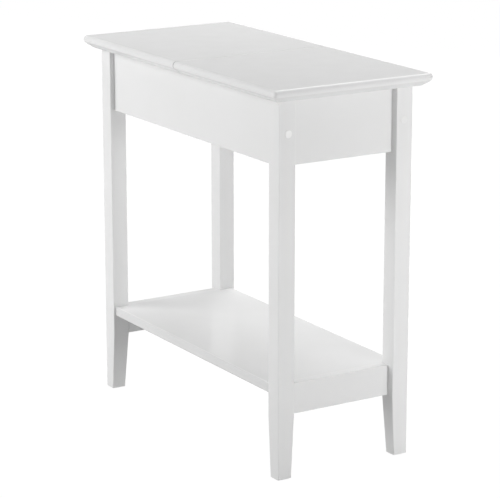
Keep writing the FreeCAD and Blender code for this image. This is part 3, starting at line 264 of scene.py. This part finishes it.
def bare_wood(name, dark, light, stretch, pores):
    """Planed wood: long fibres, broader growth bands and small pores."""
    material, tree, shader = new_material(name)
    along = place_coordinates(tree, stretch=stretch)
    fibres = noise(tree, along, FIBRE_SCALE, detail=6.0, rough=0.65, distortion=0.3)
    bands = noise(tree, along, BAND_SCALE, distortion=0.8)
    band_part = calculate(tree, "MULTIPLY", bands, BAND_SHARE)
    mixed = calculate(tree, "MULTIPLY_ADD", fibres, FIBRE_SHARE, band_part)
    tree.links.new(ramp(tree, mixed, dark, light), shader.inputs["Base Color"])
    tree.links.new(span(tree, fibres, *WOOD_ROUGHNESS), shader.inputs["Roughness"])
    tree.links.new(bump(tree, fibres, pores), shader.inputs["Normal"])
    return material


def metal(name, dark, light, rough, stretch, scratch):
    """Plated or turned metal: fine tool marks, and stains in colour and roughness."""
    material, tree, shader = new_material(name)
    stains = noise(tree, place_coordinates(tree), METAL_STAIN_SCALE, detail=4.0)
    tree.links.new(ramp(tree, stains, dark, light), shader.inputs["Base Color"])
    tree.links.new(span(tree, stains, *rough), shader.inputs["Roughness"])
    marks = noise(tree, place_coordinates(tree, stretch=stretch), 1.0, detail=3.0)
    tree.links.new(bump(tree, marks, scratch), shader.inputs["Normal"])
    shader.inputs["Metallic"].default_value = 1.0
    return material


def right_cap_shade_share(tree, share):
    """Painted shade: one at the caps of the left legs, and the share at those of the right legs."""
    across = axis_part(tree, place_coordinates(tree), "X")
    return span(tree, across, 1.0, share, start=CAP_ROWS[0], end=CAP_ROWS[1])


def plastic(name, dark, light, rough, grain_scale, grain_depth, clear=0.0, right_shade=None):
    """Moulded plastic or rubber, with a fine moulded texture.

    right_shade is painted shade that gives the right legs' caps a duller white than the left legs'
    ones."""
    material, tree, shader = new_material(name)
    position = place_coordinates(tree)
    stains = noise(tree, position, PLASTIC_STAIN_SCALE, detail=3.0)
    colour = ramp(tree, stains, dark, light)
    # Painted shade on the right legs' caps.
    if right_shade is not None:
        colour = scaled(tree, colour, right_cap_shade_share(tree, right_shade))
    tree.links.new(colour, shader.inputs["Base Color"])
    tree.links.new(span(tree, stains, *rough), shader.inputs["Roughness"])
    texture = noise(tree, position, grain_scale)
    tree.links.new(bump(tree, texture, grain_depth), shader.inputs["Normal"])
    shader.inputs["Transmission Weight"].default_value = clear
    shader.inputs["IOR"].default_value = PLASTIC_IOR
    return material


def all_materials():
    """One material for each of the record's material slots."""
    return {
        # The top, rail and shelf whites are raised above PAINT_WHITE as painted light: lit copies
        # of the one white lacquer.
        "top_paint": paint("top_paint", white=0.82, gloss=(0.235, 0.255), edge_shade=0.97,
                           seam_shade=SEAM_SHADE),
        "leg_paint": paint("leg_paint", grain=LEG_GRAIN, grain_depth=LEG_GRAIN_DEPTH),
        "apron_paint": paint("apron_paint"),
        "rail_paint": paint("rail_paint", white=0.915, gloss=SHELF_GLOSS, peel=SHELF_PEEL,
                            edge_shade=0.87),
        "shelf_paint": paint("shelf_paint", white=0.88, gloss=SHELF_GLOSS, peel=SHELF_PEEL,
                             edge_shade=0.84),
        "compartment_paint": paint("compartment_paint", white=0.78, gloss=(0.38, 0.5)),
        "raw_wood": bare_wood("raw_wood", dark=(0.50, 0.34, 0.19), light=(0.74, 0.57, 0.38),
                              stretch=(60.0, 3.0, 60.0), pores=0.0002),
        "beech": bare_wood("beech", dark=(0.52, 0.34, 0.21), light=(0.72, 0.52, 0.36),
                           stretch=(90.0, 90.0, 90.0), pores=0.0001),
        "hinge_brass": metal("hinge_brass", dark=(0.66, 0.47, 0.20), light=(0.84, 0.64, 0.33),
                             rough=(0.22, 0.38), stretch=(900.0, 60.0, 900.0), scratch=0.00001),
        "hinge_steel": metal("hinge_steel", dark=(0.52, 0.52, 0.53), light=(0.68, 0.68, 0.70),
                             rough=(0.22, 0.36), stretch=(900.0, 200.0, 200.0), scratch=0.00001),
        "zinc_steel": metal("zinc_steel", dark=(0.56, 0.57, 0.60), light=(0.74, 0.75, 0.77),
                            rough=(0.20, 0.36), stretch=(700.0, 700.0, 700.0), scratch=0.00001),
        "cam_zinc": metal("cam_zinc", dark=(0.46, 0.46, 0.47), light=(0.62, 0.62, 0.63),
                          rough=(0.32, 0.5), stretch=(400.0, 400.0, 400.0), scratch=0.00003),
        "cap_plastic": plastic("cap_plastic", dark=(0.92, 0.92, 0.91), light=(0.94, 0.94, 0.94),
                               rough=(0.40, 0.50), grain_scale=1500.0, grain_depth=0.00001,
                               right_shade=0.88),
        "bumper_rubber": plastic("bumper_rubber", dark=(0.78, 0.78, 0.76), light=(0.86, 0.86, 0.84),
                                 rough=(0.25, 0.4), grain_scale=900.0, grain_depth=0.00002,
                                 clear=0.6),
        "glide_plastic": plastic("glide_plastic", dark=(0.80, 0.80, 0.78), light=(0.86, 0.86, 0.84),
                                 rough=(0.4, 0.55), grain_scale=1100.0, grain_depth=0.00003),
    }


def dress_nodes(materials):
    """Give each CAD node the better material of the slot that it came with."""
    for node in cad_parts.values():
        for place in node.material_slots:
            slot_name = place.material.name.split(".")[0]
            place.material = materials[slot_name]


# --- Stage ---------------------------------------------------------------------------------

def floor_plane(name, height, grey, glow):
    """A wide square floor with faint clouds in its grey and an even white glow."""
    half = FLOOR_SIDE / 2
    mesh = bpy.data.meshes.new(name)
    corners = [(-half, -half, height), (half, -half, height), (half, half, height),
               (-half, half, height)]
    mesh.from_pydata(corners, [], [(0, 1, 2, 3)])
    floor = bpy.data.objects.new(name, mesh)
    bpy.context.scene.collection.objects.link(floor)
    material, tree, shader = new_material(name)
    clouds = noise(tree, place_coordinates(tree), FLOOR_CLOUD_SCALE)
    dark = grey * FLOOR_CLOUD_SHADE
    colour = ramp(tree, clouds, (dark, dark, dark), (grey, grey, grey))
    tree.links.new(colour, shader.inputs["Base Color"])
    shader.inputs["Roughness"].default_value = FLOOR_ROUGHNESS
    shader.inputs["Specular IOR Level"].default_value = FLOOR_SPECULAR
    shader.inputs["Emission Color"].default_value = WHITE
    shader.inputs["Emission Strength"].default_value = glow
    mesh.materials.append(material)
    return floor


def make_floors():
    """The camera's white floor, and below it the grey one that only the light meets."""
    white = floor_plane("white_floor", 0.0, WHITE_FLOOR_GREY, WHITE_FLOOR_GLOW)
    white.visible_diffuse = False
    white.visible_glossy = False
    white.visible_transmission = False
    white.visible_shadow = False
    grey = floor_plane("bounce_floor", -BOUNCE_FLOOR_DROP, FLOOR_GREY, FLOOR_GLOW)
    grey.visible_camera = False


def make_sky():
    """An even white light from all sides."""
    world = bpy.data.worlds.new("studio")
    world.use_nodes = True
    background = world.node_tree.nodes["Background"]
    background.inputs["Color"].default_value = WHITE
    background.inputs["Strength"].default_value = SKY_STRENGTH
    bpy.context.scene.world = world


def direction(azimuth, elevation):
    """The unit vector from the object towards a place seen at those angles."""
    turn = math.radians(azimuth)
    rise = math.radians(elevation)
    level = math.cos(rise)
    return Vector((math.sin(turn) * level, -math.cos(turn) * level, math.sin(rise)))


def area_light(name, at, away, width, height, power):
    """A rectangular light at one place that shines against the direction away."""
    light = bpy.data.lights.new(name, "AREA")
    light.shape = "RECTANGLE"
    light.size = width
    light.size_y = height
    light.energy = power
    lamp = bpy.data.objects.new(name, light)
    lamp.location = at
    lamp.rotation_mode = "QUATERNION"
    lamp.rotation_quaternion = (-away).to_track_quat("-Z", "Y")
    bpy.context.scene.collection.objects.link(lamp)
    return lamp


def softbox(name, azimuth, elevation, distance, side, power):
    """A square light, placed by its direction and distance from the object."""
    away = direction(azimuth, elevation)
    return area_light(name, LIGHT_AIM + away * distance, away, side, side, power)


def fill(name, azimuth, elevation, distance, side, power):
    """A softbox without a highlight: the paint's gloss doesn't show it."""
    softbox(name, azimuth, elevation, distance, side, power).visible_glossy = False


def gridded_fill(name, azimuth, elevation, distance, side, power, aim, spread):
    """A fill with a grid: its narrow beam points to one side of the object and fades off it."""
    at = LIGHT_AIM + direction(azimuth, elevation) * distance
    lamp = area_light(name, at, (at - aim).normalized(), side, side, power)
    lamp.data.spread = math.radians(spread)
    lamp.visible_glossy = False


def back_wall():
    """A wide, low band of light behind the object, as bright as a lit studio wall."""
    away = direction(WALL_AZIMUTH, 0.0)
    middle = away * WALL_DISTANCE + Vector((0.0, 0.0, WALL_HEIGHT / 2))
    power = math.pi * WALL_WIDTH * WALL_HEIGHT * WALL_RADIANCE
    area_light("back_wall", middle, away, WALL_WIDTH, WALL_HEIGHT, power)


def make_lights():
    """Each light's numbers are its azimuth, elevation, distance, side and power."""
    softbox("left_back_softbox", -120.0, 20.0, 3.0, 1.6, 44.5)
    softbox("left_near_softbox", -95.0, 14.0, 1.7, 0.9, 4.8)
    softbox("right_back_softbox", 120.0, 55.0, 2.5, 1.5, 29.4)
    softbox("overhead_softbox", 0.0, 89.0, 3.0, 2.0, 12.2)
    fill("front_fill", 8.0, 3.0, 2.6, 0.9, 14.5)
    gridded_fill("front_right_fill", 6.0, 3.0, 2.6, 0.6, 1.69, FRONT_AIM, FRONT_SPREAD)
    fill("right_fill", 90.0, 8.0, 2.2, 1.0, 10.8)
    back_wall()


def make_camera():
    """The photograph's camera, which looks down at the object without a shift."""
    back = direction(CAMERA_AZIMUTH, CAMERA_ELEVATION)
    data = bpy.data.cameras.new("camera")
    data.sensor_width = SENSOR_MM
    data.lens = FOCAL_PIXELS / PHOTO_WIDTH * SENSOR_MM
    camera = bpy.data.objects.new("camera", data)
    camera.location = CAMERA_AIM + back * CAMERA_DISTANCE
    camera.rotation_mode = "QUATERNION"
    camera.rotation_quaternion = (-back).to_track_quat("-Z", "Y")
    bpy.context.scene.collection.objects.link(camera)
    bpy.context.scene.camera = camera


make_camera()
dress_nodes(all_materials())
make_floors()
make_sky()
make_lights()
bpy.context.scene.view_settings.view_transform = "Standard"
